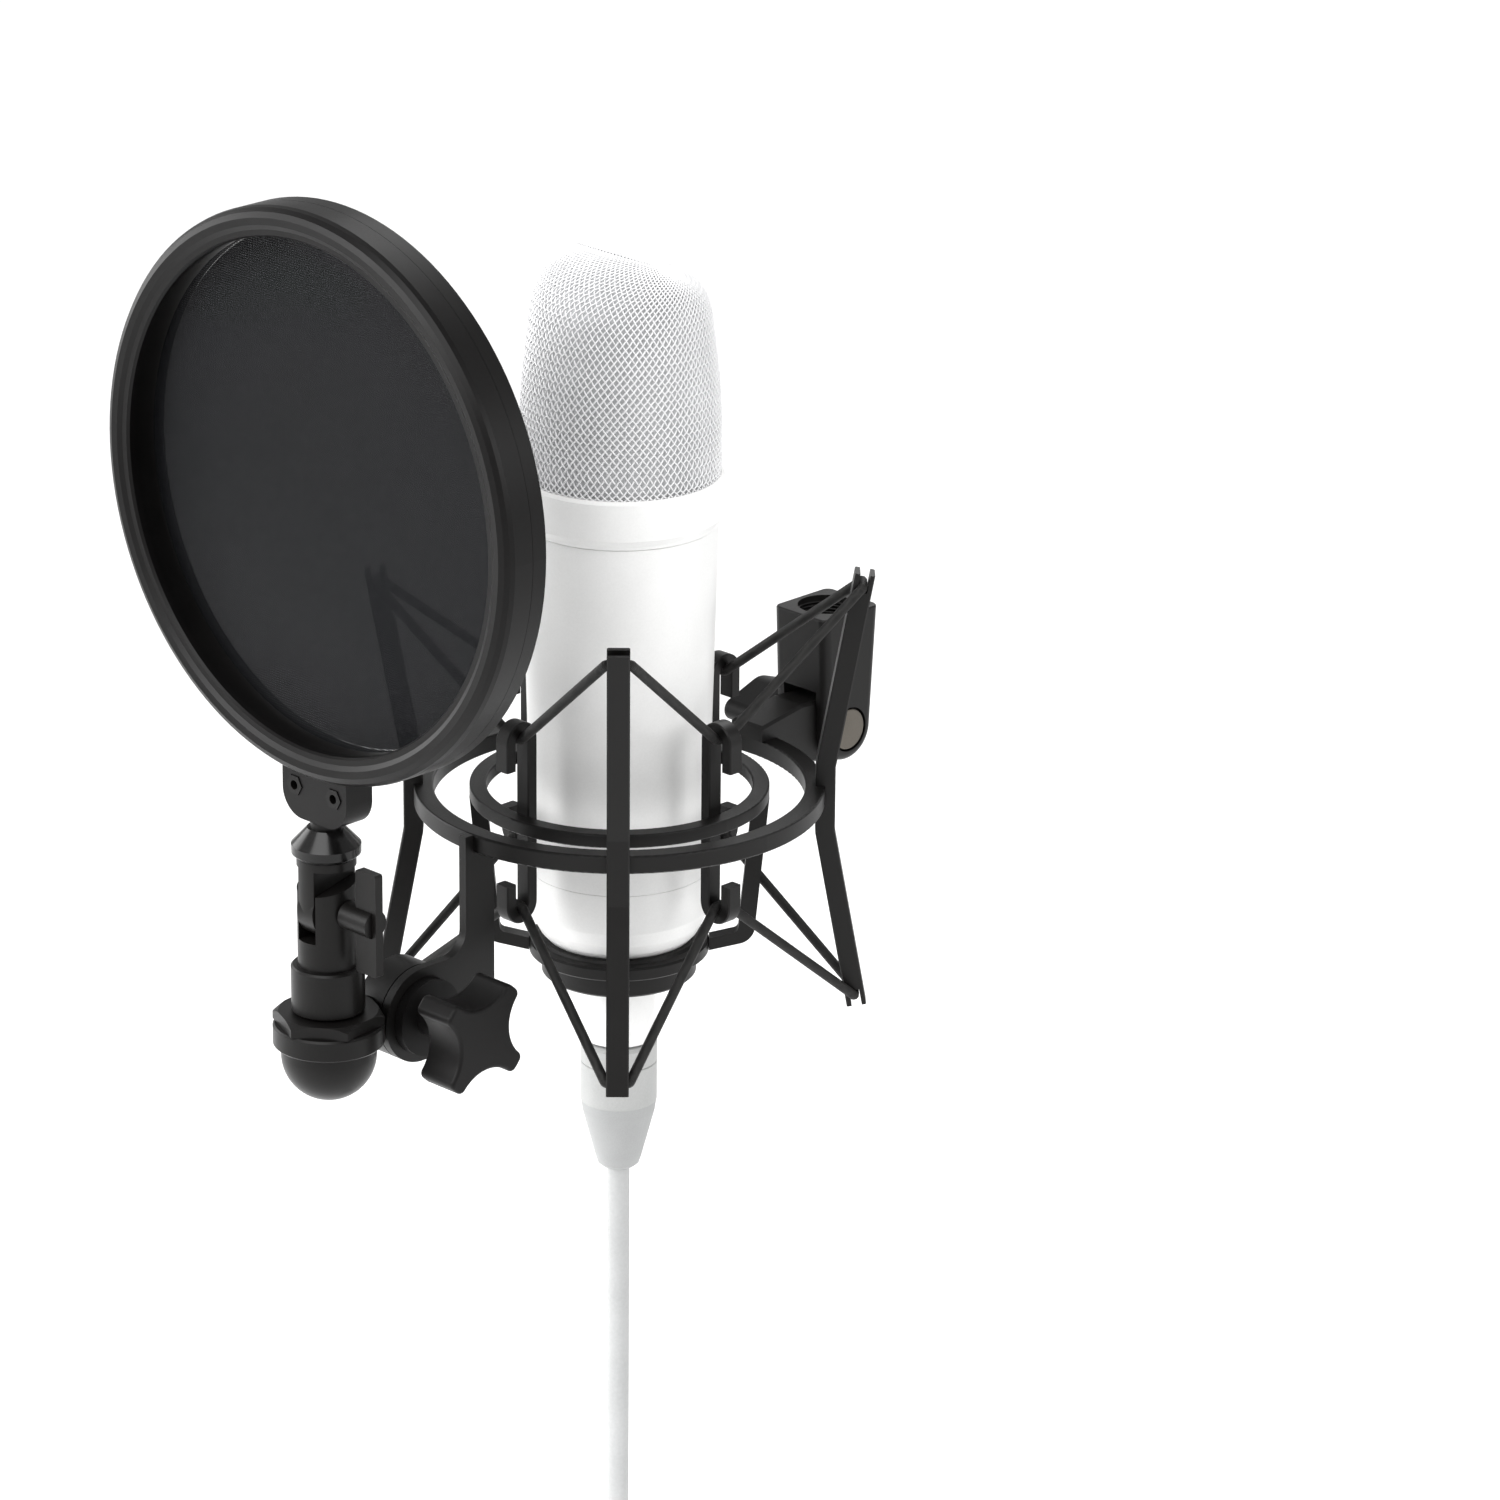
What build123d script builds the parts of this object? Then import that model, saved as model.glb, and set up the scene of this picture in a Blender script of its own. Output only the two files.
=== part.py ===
from build123d import *
import os
from math import atan, cos, degrees, pi, radians, sin, sqrt, tan

# A side-address condenser microphone in an elastic shock mount, with a pop filter on a jointed arm.
# Everything is drawn about the microphone's axis: Z is that axis, z = 0 is the top face of the
# mount's outer ring and the front, the side that is spoken into, is -Y. Millimetres.

# Boom bracket, with its standard 5/8 inch - 27 socket, and the tilt hinge
THREAD_R = 7.5
THREAD_DEPTH = 14.0
BRACKET_Y = 75.4
BRACKET_TOP = 29.3
BRACKET_HALF_X = 9.4
BRACKET_BACK = 85.8
BRACKET_FRONT = 65.0
CLEVIS_HALF = 5.8
CLEVIS_ROOF = 8.8
TILT_Y = 75.0
TILT_Z = -2.8
TILT_END_R = 8.5
BOLT_R = 2.95
BOLT_HOLE_R = 3.0

# Shock mount: outer ring with its four arms
RING_R_IN = 47.2
RING_R_OUT = 52.25
RING_H = 4.8
ARM_HALF_W = 2.85
ARM_T = 5.0
ARM_R = 54.8
ARM_TIP_R = 64.0
ARM_TOP = 56.3
ARM_BOTTOM = -59.7
ARM_BEND_TOP = 5.0
ARM_BEND_BOTTOM = -12.4
SLOT_W = 2.6
TOP_SLOT = 4.4
BOTTOM_SLOT = 3.9

# Cradle: inner ring, four hooked posts, four struts and the holder ring
CRADLE_R_IN = 33.8
CRADLE_R_OUT = 38.1
CRADLE_TOP = 0.15
CRADLE_H = 3.6
POST_R_IN = 31.0
POST_T = 3.2
POST_HALF_W = 2.15
HOOK_R_OUT = 41.4
HOOK_TOP = 25.8
HOOK_TOP_LEG = 13.4
HOOK_BOTTOM = -27.9
HOOK_BOTTOM_LEG = -17.0
STRUT_HALF_W = 2.1
HOLDER_R = 23.0
HOLDER_TOP = -40.7
HOLDER_BOTTOM = -45.6
LOCK_R = 19.8
LOCK_BOTTOM = -51.35

# Elastic bands, threaded through the slots and round the hooks
BAND_R = 1.2
BAND_BEND = 1.7

# Microphone
BODY_TOP_R = 24.7
BODY_TOP = 70.1
BODY_LOW_R = 23.2
SEAM = -22.3
WALL = 1.4
COLLAR_R = 26.2
COLLAR_BOTTOM = 70.3
COLLAR_TOP = 83.1
HEAD_R = 25.2
HEAD_TOP = 138.5
NECK_R = 12.0
STEM_R = 9.3
STEM_BOTTOM = -69.45
CAPSULE_R = 17.0
CAPSULE_Z = 107.0

# Cable plug and cable
PLUG_R = 9.9
PLUG_TOP = -70.3
PLUG_SHELL_END = -87.0
PLUG_END = -105.8
CABLE_R = 3.0
COIL_R = 36.0
COIL_Z = -278.0
COIL_Y = 9.0
COIL_HALF = 9.3
COIL_HALF_W = 12.3
TAIL_X = -44.2
TAIL_Y = 13.0
TAIL_END = -338.0
FAR_SHELL_TOP = -356.8
FAR_PLUG_END = -389.0

# Pop filter arm: hanger plate, cup, swivelling post and tilting stem
PLATE_T = 2.4
EYE_Y = -69.8
EYE_Z = -43.2
EYE_R = 12.4
POST_X = -6.0
POST_Y = -94.9
CUP_R = 13.85
CUP_TOP = -39.8
CUP_BOTTOM = -45.35
DOME_R = 11.9
DOME_Z = -48.1
SLEEVE_R = 9.15
SLEEVE_TOP = -24.2
CLEVIS_R = 7.4
TONGUE_HALF = 2.8
PIVOT_Z = -9.2
SCREW_R = 1.95
SCREW_HOLE_R = 2.0
FOOT_R = 6.0

# Pop filter head
RIM_R = 71.4
LIP_R = 63.9
RIM_X = -6.0
RIM_Z = 97.2
RIM_FRONT = -102.0
RIM_SPLIT = -93.3
RIM_BACK = -88.0
LUG_W = 23.0
LUG_BOTTOM = 13.5

# Clamp knobs
KNOB_R = 15.0
KNOB_T = 12.0
KNOB_WAIST = 8.4
KNOB_SCALLOP = 11.0
WING_REACH = 10.2
WING_TIP_R = 3.0
WING_HUB_R = 6.4

os.makedirs("parts", exist_ok=True)
# The finished part is placed with the mouth of the boom socket at its origin.
TO_SOCKET = Pos(0, -BRACKET_Y, -BRACKET_TOP)


def save(name, shape):
    export_step(TO_SOCKET * shape, f"parts/{name}.step")


def turned(*corners):
    """Solid of revolution about Z from its (radius, height) corners."""
    return revolve(Plane.XZ * make_face(Polyline(*corners, close=True)), Axis.Z)


def pipe(r_out, r_in, low, high):
    return turned((r_in, low), (r_out, low), (r_out, high), (r_in, high))


def rod(radius, low, high):
    return Pos(0, 0, (low + high) / 2) * Cylinder(radius, high - low)


def rod_x(radius, low, high, y, z):
    """Cylinder along X."""
    return Pos((low + high) / 2, y, z) * Rot(0, 90, 0) * Cylinder(radius, high - low)


def rod_y(radius, low, high, x, z):
    """Cylinder along Y."""
    return Pos(x, (low + high) / 2, z) * Rot(90, 0, 0) * Cylinder(radius, high - low)


def block(low, high):
    size = [b - a for a, b in zip(low, high)]
    return Pos(*[(a + b) / 2 for a, b in zip(low, high)]) * Box(*size)


def round_about(azimuth):
    """Turn a piece drawn towards +X to an azimuth counted from the front, towards +X."""
    return Rot(0, 0, azimuth - 90)


def join(shapes):
    whole = shapes[0]
    for shape in shapes[1:]:
        whole = whole + shape
    return whole


SIDES = {"front": 45, "right": 135, "back": 225, "left": 315}
FACES = {"front": 0, "right": 90, "back": 180, "left": 270}


# ---- Boom bracket and tilt hinge ----------------------------------------------------------

def boom_bracket():
    pivot = Pos(TILT_Y, TILT_Z) * Circle(TILT_END_R + 0.2)
    corners = [
        (BRACKET_FRONT, BRACKET_TOP), (BRACKET_BACK, BRACKET_TOP),
        (TILT_Y + TILT_END_R + 0.2, TILT_Z), (TILT_Y - TILT_END_R - 0.2, TILT_Z),
    ]
    side = make_face(Polyline(*corners, close=True)) + pivot
    body = extrude(Plane.YZ * side, amount=BRACKET_HALF_X, both=True)
    upright = body.edges().filter_by(lambda e: e.length > 25).sort_by(Axis.Z)[-4:]
    body = fillet(upright, 2.4)
    body = fillet(body.faces().sort_by(Axis.Z)[-1].edges(), 0.6)
    clevis = block((-CLEVIS_HALF, 50, -30), (CLEVIS_HALF, 100, CLEVIS_ROOF))
    thread = Pos(0, BRACKET_Y, 0) * rod(THREAD_R, BRACKET_TOP - THREAD_DEPTH, BRACKET_TOP + 5)
    hole = rod_x(BOLT_HOLE_R, -20, 20, TILT_Y, TILT_Z)
    sink = rod_x(6.0, BRACKET_HALF_X - 1.9, 20, TILT_Y, TILT_Z)
    return body - clevis - thread - hole - sink


def tilt_lug():
    """The mount's lug: it stands on the ring's back and ends in a round eye in the clevis."""
    corners = [
        (46.2, 0), (46.2, 3.6), (47.0, 4.15), (61.35, 6.4), (TILT_Y, TILT_Z + TILT_END_R),
        (TILT_Y, TILT_Z - TILT_END_R), (66.0, TILT_Z - TILT_END_R + 0.6), (53.2, -RING_H),
        (49.0, -RING_H), (49.0, 0),
    ]
    side = make_face(Polyline(*corners, close=True)) + Pos(TILT_Y, TILT_Z) * Circle(TILT_END_R)
    body = extrude(Plane.YZ * side, amount=5.5, both=True)
    shoulders = body.edges().filter_by(lambda e: abs(e.center().X) > 5.4 and 4.0 < e.center().Z < 6.2)
    body = chamfer(shoulders, 0.7)
    return body - rod_x(BOLT_HOLE_R, -20, 20, TILT_Y, TILT_Z) - outer_ring_blank()


def tilt_bolt():
    head = rod_x(5.5, BRACKET_HALF_X - 1.8, BRACKET_HALF_X - 0.1, TILT_Y, TILT_Z)
    head = fillet(head.edges().sort_by(Axis.X)[-1], 0.4)
    return head + rod_x(BOLT_R, -21.0, BRACKET_HALF_X - 1.0, TILT_Y, TILT_Z)


def star_knob(low, y, z, turn, stem_end):
    """Four-lobed knob on an axis along X, from low to low + KNOB_T, with its stem to stem_end."""
    scallops = [Rot(0, 0, 90 * i) * Pos(KNOB_WAIST + KNOB_SCALLOP, 0) * Circle(KNOB_SCALLOP)
                for i in range(4)]
    face = Circle(KNOB_R)
    for scallop in scallops:
        face = face - scallop
    face = fillet(face.vertices(), 1.7)
    lobes = extrude(Plane.YZ * (Rot(0, 0, turn) * face), amount=KNOB_T)
    lobes = fillet(lobes.faces().filter_by(Axis.X).edges(), 0.9)
    root = low + KNOB_T / 2
    stem = rod_x(4.5, min(stem_end, root), max(stem_end, root), y, z)
    return Pos(low, y, z) * lobes + stem


def tilt_knob():
    """Two-winged knob with a round hub, threaded on the end of the tilt bolt."""
    near = -BRACKET_HALF_X - 0.4
    hub = Circle(WING_HUB_R)
    tips = [Pos(side * WING_REACH, 0) * Circle(WING_TIP_R) for side in (-1, 1)]
    wings = make_hull(hub.edges() + tips[0].edges() + tips[1].edges())
    knob = extrude(Plane.YZ * wings, amount=KNOB_T)
    knob = fillet(knob.faces().filter_by(Axis.X).edges(), 0.9)
    knob = Pos(near - 2.2 - KNOB_T, TILT_Y, TILT_Z) * knob
    return knob + rod_x(4.5, near - 6.0, near, TILT_Y, TILT_Z) - rod_x(BOLT_HOLE_R, -21.4, 0, TILT_Y, TILT_Z)


# ---- Shock mount: outer ring, arms and hanger plate ---------------------------------------

def outer_ring_blank():
    return pipe(RING_R_OUT, RING_R_IN, -RING_H, 0)


def outer_ring():
    ring = outer_ring_blank()
    return fillet(ring.edges(), 0.5)


def lean_top():
    return degrees(atan((ARM_TIP_R - ARM_R) / (ARM_TOP - ARM_BEND_TOP)))


def lean_bottom():
    return degrees(atan((ARM_TIP_R - 0.5 - ARM_R) / (ARM_BEND_BOTTOM - ARM_BOTTOM)))


def outer_arm(azimuth):
    low_tip = ARM_TIP_R - 0.5
    corners = [
        (low_tip, ARM_BOTTOM), (ARM_R, ARM_BEND_BOTTOM), (ARM_R, ARM_BEND_TOP), (ARM_TIP_R, ARM_TOP),
        (ARM_TIP_R - ARM_T, ARM_TOP + 0.8), (ARM_R - ARM_T, ARM_BEND_TOP + 0.5),
        (ARM_R - ARM_T, ARM_BEND_BOTTOM - 0.5), (low_tip - ARM_T, ARM_BOTTOM - 0.8),
    ]
    arm = extrude(Plane.XZ * make_face(Polyline(*corners, close=True)), amount=ARM_HALF_W, both=True)
    arm = chamfer(arm.edges().filter_by(lambda e: e.length > 10), 0.35)
    top_slot = Pos(ARM_TIP_R - ARM_T / 2, 0, ARM_TOP) * Rot(0, lean_top(), 0)
    arm = arm - top_slot * Box(SLOT_W, 10, 2 * TOP_SLOT)
    bottom_slot = Pos(low_tip - ARM_T / 2, 0, ARM_BOTTOM) * Rot(0, -lean_bottom(), 0)
    arm = arm - bottom_slot * Box(SLOT_W, 10, 2 * BOTTOM_SLOT)
    return round_about(azimuth) * (arm - outer_ring_blank())


def hanger_plate():
    """Plate that hangs from the ring's front and carries the filter arm on its round eye."""
    front, back, foot = -54.9, -45.2, EYE_Z - EYE_R
    strip = Pos((front + back) / 2, (foot - 0.1) / 2) * Rectangle(back - front, -0.1 - foot)
    web = Pos((EYE_Y + back) / 2, EYE_Z) * Rectangle(back - EYE_Y, 2 * EYE_R)
    shape = strip + web
    inner = [v for v in shape.vertices() if abs(v.X - front) < 0.1 and abs(v.Y - EYE_Z - EYE_R) < 0.1]
    shape = fillet(inner, 6.0)
    heel = [v for v in shape.vertices() if abs(v.X - back) < 0.1 and v.Y < EYE_Z]
    shape = fillet(heel, 5.0) + Pos(EYE_Y, EYE_Z) * Circle(EYE_R)
    plate = extrude(Plane.YZ * shape, amount=PLATE_T / 2, both=True)
    plate = plate - rod_x(BOLT_HOLE_R, -20, 20, EYE_Y, EYE_Z)
    return plate - outer_ring_blank() - block((-5, -RING_R_IN, -RING_H), (5, -40, 5))


# ---- Cradle -------------------------------------------------------------------------------

def inner_ring_blank():
    return pipe(CRADLE_R_OUT, CRADLE_R_IN, CRADLE_TOP - CRADLE_H, CRADLE_TOP)


def inner_ring():
    return fillet(inner_ring_blank().edges(), 0.4)


def cradle_post(azimuth):
    """Upright bar whose ends bend outwards and back into hooks for the elastic bands."""
    bend_r = (HOOK_R_OUT - POST_R_IN) / 2
    bend_at = (HOOK_R_OUT + POST_R_IN) / 2
    top_c = HOOK_TOP - bend_r
    low_c = HOOK_BOTTOM + bend_r
    bar = Pos(POST_R_IN + POST_T / 2, (top_c + low_c) / 2) * Rectangle(POST_T, top_c - low_c)
    leg_r = HOOK_R_OUT - POST_T / 2
    top_leg = Pos(leg_r, (top_c + HOOK_TOP_LEG) / 2) * Rectangle(POST_T, top_c - HOOK_TOP_LEG)
    low_leg = Pos(leg_r, (low_c + HOOK_BOTTOM_LEG) / 2) * Rectangle(POST_T, HOOK_BOTTOM_LEG - low_c)
    bend = Circle(bend_r) - Circle(bend_r - POST_T)
    top_bend = Pos(bend_at, top_c) * (bend - Pos(0, -10) * Rectangle(20, 20))
    low_bend = Pos(bend_at, low_c) * (bend - Pos(0, 10) * Rectangle(20, 20))
    side = bar + top_leg + low_leg + top_bend + low_bend
    post = extrude(Plane.XZ * side, amount=POST_HALF_W, both=True)
    post = chamfer(post.edges().filter_by(lambda e: e.length > 25), 0.3)
    return round_about(azimuth) * (post - inner_ring_blank())


def cradle_strut(azimuth):
    """Strut from the inner ring down and in to the holder ring."""
    low = CRADLE_TOP - CRADLE_H
    corners = [
        (CRADLE_R_OUT, low), (35.3, -33.0), (34.4, -42.6), (HOLDER_R, -45.3), (HOLDER_R, -42.0),
        (30.4, -40.2), (31.0, -33.0), (CRADLE_R_OUT - 4.2, low),
    ]
    side = make_face(Polyline(*corners, close=True))
    outer = [v for v in side.vertices() if abs(v.X - 34.4) < 0.1]
    side = fillet(outer, 5.0)
    inner = [v for v in side.vertices() if abs(v.X - 30.4) < 0.1]
    side = fillet(inner, 1.6)
    strut = extrude(Plane.XZ * side, amount=STRUT_HALF_W, both=True)
    return round_about(azimuth) * (strut - rod(HOLDER_R, -50, -30))


def holder_ring():
    return turned(
        (NECK_R + 0.4, HOLDER_BOTTOM), (HOLDER_R - 0.4, HOLDER_BOTTOM), (HOLDER_R, HOLDER_BOTTOM + 0.4),
        (HOLDER_R, -42.6), (HOLDER_R - 0.5, -42.1), (20.9, -41.7), (20.4, -41.0), (19.4, HOLDER_TOP),
        (18.9, -41.0), (17.4, -43.2), (NECK_R + 0.4, -43.2),
    )


def lock_ring():
    top = HOLDER_BOTTOM - 0.3
    return turned(
        (NECK_R + 0.06, LOCK_BOTTOM), (LOCK_R - 0.6, LOCK_BOTTOM), (LOCK_R, LOCK_BOTTOM + 0.6),
        (LOCK_R, top - 0.4), (LOCK_R - 0.4, top), (NECK_R + 0.06, top),
    )


# ---- Elastic bands ------------------------------------------------------------------------

def on_circle(azimuth, radius, across, z):
    """Point at an azimuth and radius, moved sideways by across."""
    a = radians(azimuth)
    return (radius * sin(a) + across * cos(a), -radius * cos(a) + across * sin(a), z)


def elastic_band(tip_r, tip_z, hook_z):
    """Closed round band: across each arm's slot, then across the next hook."""
    hook_r = (HOOK_R_OUT + POST_R_IN) / 2
    points = []
    for i in range(4):
        for azimuth, radius, half, z in ((90 * i, hook_r, 2.6, hook_z), (90 * i + 45, tip_r, 3.9, tip_z)):
            points += [on_circle(azimuth, radius, -half, z), on_circle(azimuth, radius, half, z)]
    path = FilletPolyline(*points, radius=BAND_BEND, close=True)
    start = path @ 0.0
    return sweep(Plane(start, z_dir=path % 0.0) * Circle(BAND_R), path=path)


# ---- Microphone ---------------------------------------------------------------------------

def mic_body_tube():
    low_r = BODY_LOW_R
    return turned(
        (low_r - WALL, SEAM + 0.1), (low_r, SEAM + 0.1), (23.44, 18.3), (BODY_TOP_R, BODY_TOP - 2),
        (BODY_TOP_R, BODY_TOP), (BODY_TOP_R - WALL, BODY_TOP), (BODY_TOP_R - WALL, BODY_TOP - 2),
        (23.44 - WALL, 18.3),
    )


def mic_base_cap():
    """Lower end of the housing, with the threaded neck that the lock ring grips."""
    return turned(
        (STEM_R + 0.05, -52.4), (NECK_R, -52.4), (NECK_R, -43.0), (17.2, -43.0), (18.6, -41.2),
        (20.3, -39.3), (21.7, -36.6), (22.6, -33.0), (23.0, -27.0), (BODY_LOW_R, SEAM),
        (BODY_LOW_R - WALL, SEAM), (BODY_LOW_R - WALL, -32.0), (19.0, -38.0), (STEM_R + 0.05, -40.0),
    )


def mic_collar():
    return turned(
        (23.4, COLLAR_BOTTOM), (24.9, COLLAR_BOTTOM), (25.2, COLLAR_BOTTOM + 1.0), (COLLAR_R, COLLAR_BOTTOM + 2.6),
        (COLLAR_R, COLLAR_TOP - 0.8), (COLLAR_R - 0.8, COLLAR_TOP), (23.4, COLLAR_TOP),
    )


HEAD_SECTIONS = [
    (COLLAR_TOP + 0.1, HEAD_R, HEAD_R - 0.02), (100.0, 25.2, 24.9), (112.0, 24.7, 23.4),
    (122.0, 24.3, 21.6), (128.0, 23.9, 20.0), (132.0, 23.2, 17.0), (135.0, 22.0, 12.6),
    (137.2, 19.6, 6.8), (HEAD_TOP, 16.5, 1.6),
]


def head_section(z, half_x, half_y):
    return Pos(0, 0, z) * Ellipse(half_x, half_y)


def head_solid(inset):
    """The grille's outline: round at the collar and pinched to a rounded ridge along X on top."""
    foot = COLLAR_TOP + 0.1
    squash = 1 - inset / (HEAD_TOP - foot)
    return loft([
        head_section(foot + (z - foot) * squash, half_x - inset, half_y - min(inset, 0.3 * half_y))
        for z, half_x, half_y in HEAD_SECTIONS
    ], ruled=True)


def capsule_body():
    body = rod_y(CAPSULE_R, -3.6, 3.6, 0, CAPSULE_Z)
    body = fillet(body.edges(), 0.6)
    for side in (-1, 1):
        lip = rod_y(CAPSULE_R - 1.5, 3.2 * side - 0.5, 3.2 * side + 0.5, 0, CAPSULE_Z)
        body = body - lip
    return body


def diaphragms():
    """Two thin discs with their centre terminals."""
    discs = [rod_y(CAPSULE_R - 1.6, 2.75, 2.95, 0, CAPSULE_Z), rod_y(CAPSULE_R - 1.6, -2.95, -2.75, 0, CAPSULE_Z)]
    terminals = [rod_y(1.3, 2.95, 4.2, 0, CAPSULE_Z), rod_y(1.3, -4.2, -2.95, 0, CAPSULE_Z)]
    return Compound(children=[disc + pin for disc, pin in zip(discs, terminals)])


def capsule_saddle():
    """Deck across the top of the body, with the half-round saddle that holds the capsule."""
    deck = rod(23.2, 74.0, 77.2)
    stem = rod(8.0, 77.2, 80.4) + rod(3.0, 80.4, CAPSULE_Z - CAPSULE_R - 1.0)
    cup = rod_y(CAPSULE_R + 2.0, -3.0, 3.0, 0, CAPSULE_Z) - rod_y(CAPSULE_R + 0.1, -5, 5, 0, CAPSULE_Z)
    cup = cup - block((-30, -10, CAPSULE_Z - 9), (30, 10, 200))
    return deck + stem + cup


def chassis_frame():
    """Round base plate with the two rails that carry the circuit board."""
    base = rod(20.6, SEAM, SEAM + 3.0) - rod(3.0, -40, 0)
    rails = [block((s * 19.5 - 1.0, -4, SEAM + 2.0), (s * 19.5 + 1.0, 4, 73.9)) for s in (-1, 1)]
    return base + rails[0] + rails[1]


def circuit_board():
    return block((-18.4, 1.2, -14), (18.4, 2.8, 66))


def board_parts():
    """Output transformer, two film capacitors, three electrolytics and the input transistor."""
    pieces = [block((-9, -12.2, -12), (9, 1.1, 10))]
    pieces += [block((x - 5, -6.4, 20), (x + 5, 1.1, 34)) for x in (-9, 9)]
    pieces += [Pos(x, -3.9, 45) * Cylinder(3.9, 12) for x in (-11, 0, 11)]
    pieces += [block((-2.4, -2.4, 57), (2.4, 1.1, 62))]
    return Compound(children=pieces)


def xlr_shell():
    return pipe(STEM_R, 8.15, STEM_BOTTOM, -40.1)


def xlr_insert():
    return rod(8.1, -55.2, -51.0)


PIN_PLACES = [(-3.5, 1.2), (3.5, 1.2), (0.0, -3.6)]


def xlr_pins():
    return Compound(children=[Pos(x, y, 0) * rod(1.2, -66.0, -55.25) for x, y in PIN_PLACES])


# ---- Plug, cable, coil and far plug -------------------------------------------------------

def plug_insert():
    nose = rod(7.9, PLUG_TOP + 0.1, -57.0)
    for x, y in PIN_PLACES:
        nose = nose - Pos(x, y, 0) * rod(1.32, -68.0, -50)
    return nose


def plug_shell(top, end):
    """Round shell with one shallow groove under its head."""
    shell = turned(
        (0, end), (PLUG_R, end), (PLUG_R, top - 6.1), (PLUG_R - 0.35, top - 5.9), (PLUG_R, top - 5.7),
        (PLUG_R, top - 0.8), (PLUG_R - 0.8, top), (0, top),
    )
    return shell


def plug_boot(top, end):
    return turned(
        (0, end), (CABLE_R + 1.4, end), (CABLE_R + 2.4, end + 0.9), (CABLE_R + 3.0, end + 2.8),
        (PLUG_R - 0.5, top - 3.0), (PLUG_R - 0.1, top - 0.05), (0, top - 0.05),
    )


LATCH_POCKET = ((-2.6, 6.2, -82.5), (2.6, 12.0, -75.5))


def latch_button():
    body = block((-2.3, 7.9, -82.2), (2.3, 10.9, -75.8))
    return fillet(body.edges().filter_by(Axis.Z), 0.5)


def swept_cable(points):
    """Round cable along straight runs and the largest arcs that the runs allow."""
    places = [Vector(*p) for p in points]
    runs = [b - a for a, b in zip(places, places[1:])]
    radii = [0.45 * min(a.length, b.length) / tan(radians(a.get_angle(b)) / 2)
             for a, b in zip(runs, runs[1:])]
    print("cable arcs, mm:", [round(r, 1) for r in radii])
    path = FilletPolyline(*points, radius=radii)
    tube = sweep(Plane(path @ 0.0, z_dir=path % 0.0) * Circle(CABLE_R), path=path)
    print("cable length, mm:", round(path.length, 1),
          "volume ratio:", round(tube.volume / (pi * CABLE_R**2 * path.length), 4))
    return tube


CABLE_ROUTE = [
    (0.0, 0.0, PLUG_END), (0.0, 0.0, -210.0), (-5.0, 0.0, -229.0), (-20.0, 0.0, -241.0),
    (-36.5, 0.0, -255.0),
]
TAIL_ROUTE = [
    (-41.2, 12.0, -278.0), (-42.0, 12.6, -300.0), (TAIL_X, TAIL_Y, -320.0), (TAIL_X, TAIL_Y, TAIL_END),
]


def cable_drop():
    return swept_cable(CABLE_ROUTE) - cable_coil()


def cable_tail():
    return swept_cable(TAIL_ROUTE) - cable_coil()


def cable_coil():
    ring = pipe(COIL_R + COIL_HALF, COIL_R - COIL_HALF, -COIL_HALF_W, COIL_HALF_W)
    ring = fillet(ring.edges(), 2.5)
    return Pos(0, COIL_Y, COIL_Z) * Rot(90, 0, 0) * ring


def cable_tie():
    """Hook-and-loop strap round the top of the coil."""
    top = COIL_Z + COIL_R
    strap = block((-6, COIL_Y - 14.2, top - 11.2), (6, COIL_Y + 14.2, top + 11.2))
    strap = fillet(strap.edges().filter_by(Axis.X), 3.5)
    hole = block((-7, COIL_Y - 12.9, top - 9.9), (7, COIL_Y + 12.9, top + 9.9))
    hole = fillet(hole.edges().filter_by(Axis.X), 2.6)
    return strap - hole - cable_coil() - swept_cable(CABLE_ROUTE)


def at_tail(shape):
    return Pos(TAIL_X, TAIL_Y, 0) * shape


def far_plug_boot():
    return at_tail(turned(
        (0, TAIL_END), (CABLE_R + 1.4, TAIL_END), (CABLE_R + 2.4, TAIL_END - 0.9),
        (CABLE_R + 3.0, TAIL_END - 2.8), (PLUG_R - 0.5, FAR_SHELL_TOP + 3.0),
        (PLUG_R - 0.1, FAR_SHELL_TOP), (0, FAR_SHELL_TOP),
    ))


def far_plug_shell():
    """Shell of the male plug, open below round its pins."""
    roof = FAR_PLUG_END + 15.0
    return at_tail(turned(
        (0, FAR_SHELL_TOP), (PLUG_R, FAR_SHELL_TOP), (PLUG_R, FAR_PLUG_END + 0.6),
        (PLUG_R - 0.6, FAR_PLUG_END), (8.15, FAR_PLUG_END), (8.15, roof), (0, roof),
    ))


def far_plug_insert():
    roof = FAR_PLUG_END + 15.0
    pins = [Pos(x, y, 0) * rod(1.2, roof - 13.0, roof - 3.0) for x, y in PIN_PLACES]
    return at_tail(join([rod(8.1, roof - 3.5, roof)] + pins))


# ---- Pop filter arm -----------------------------------------------------------------------

def at_post(shape):
    return Pos(POST_X, POST_Y, 0) * shape


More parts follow.
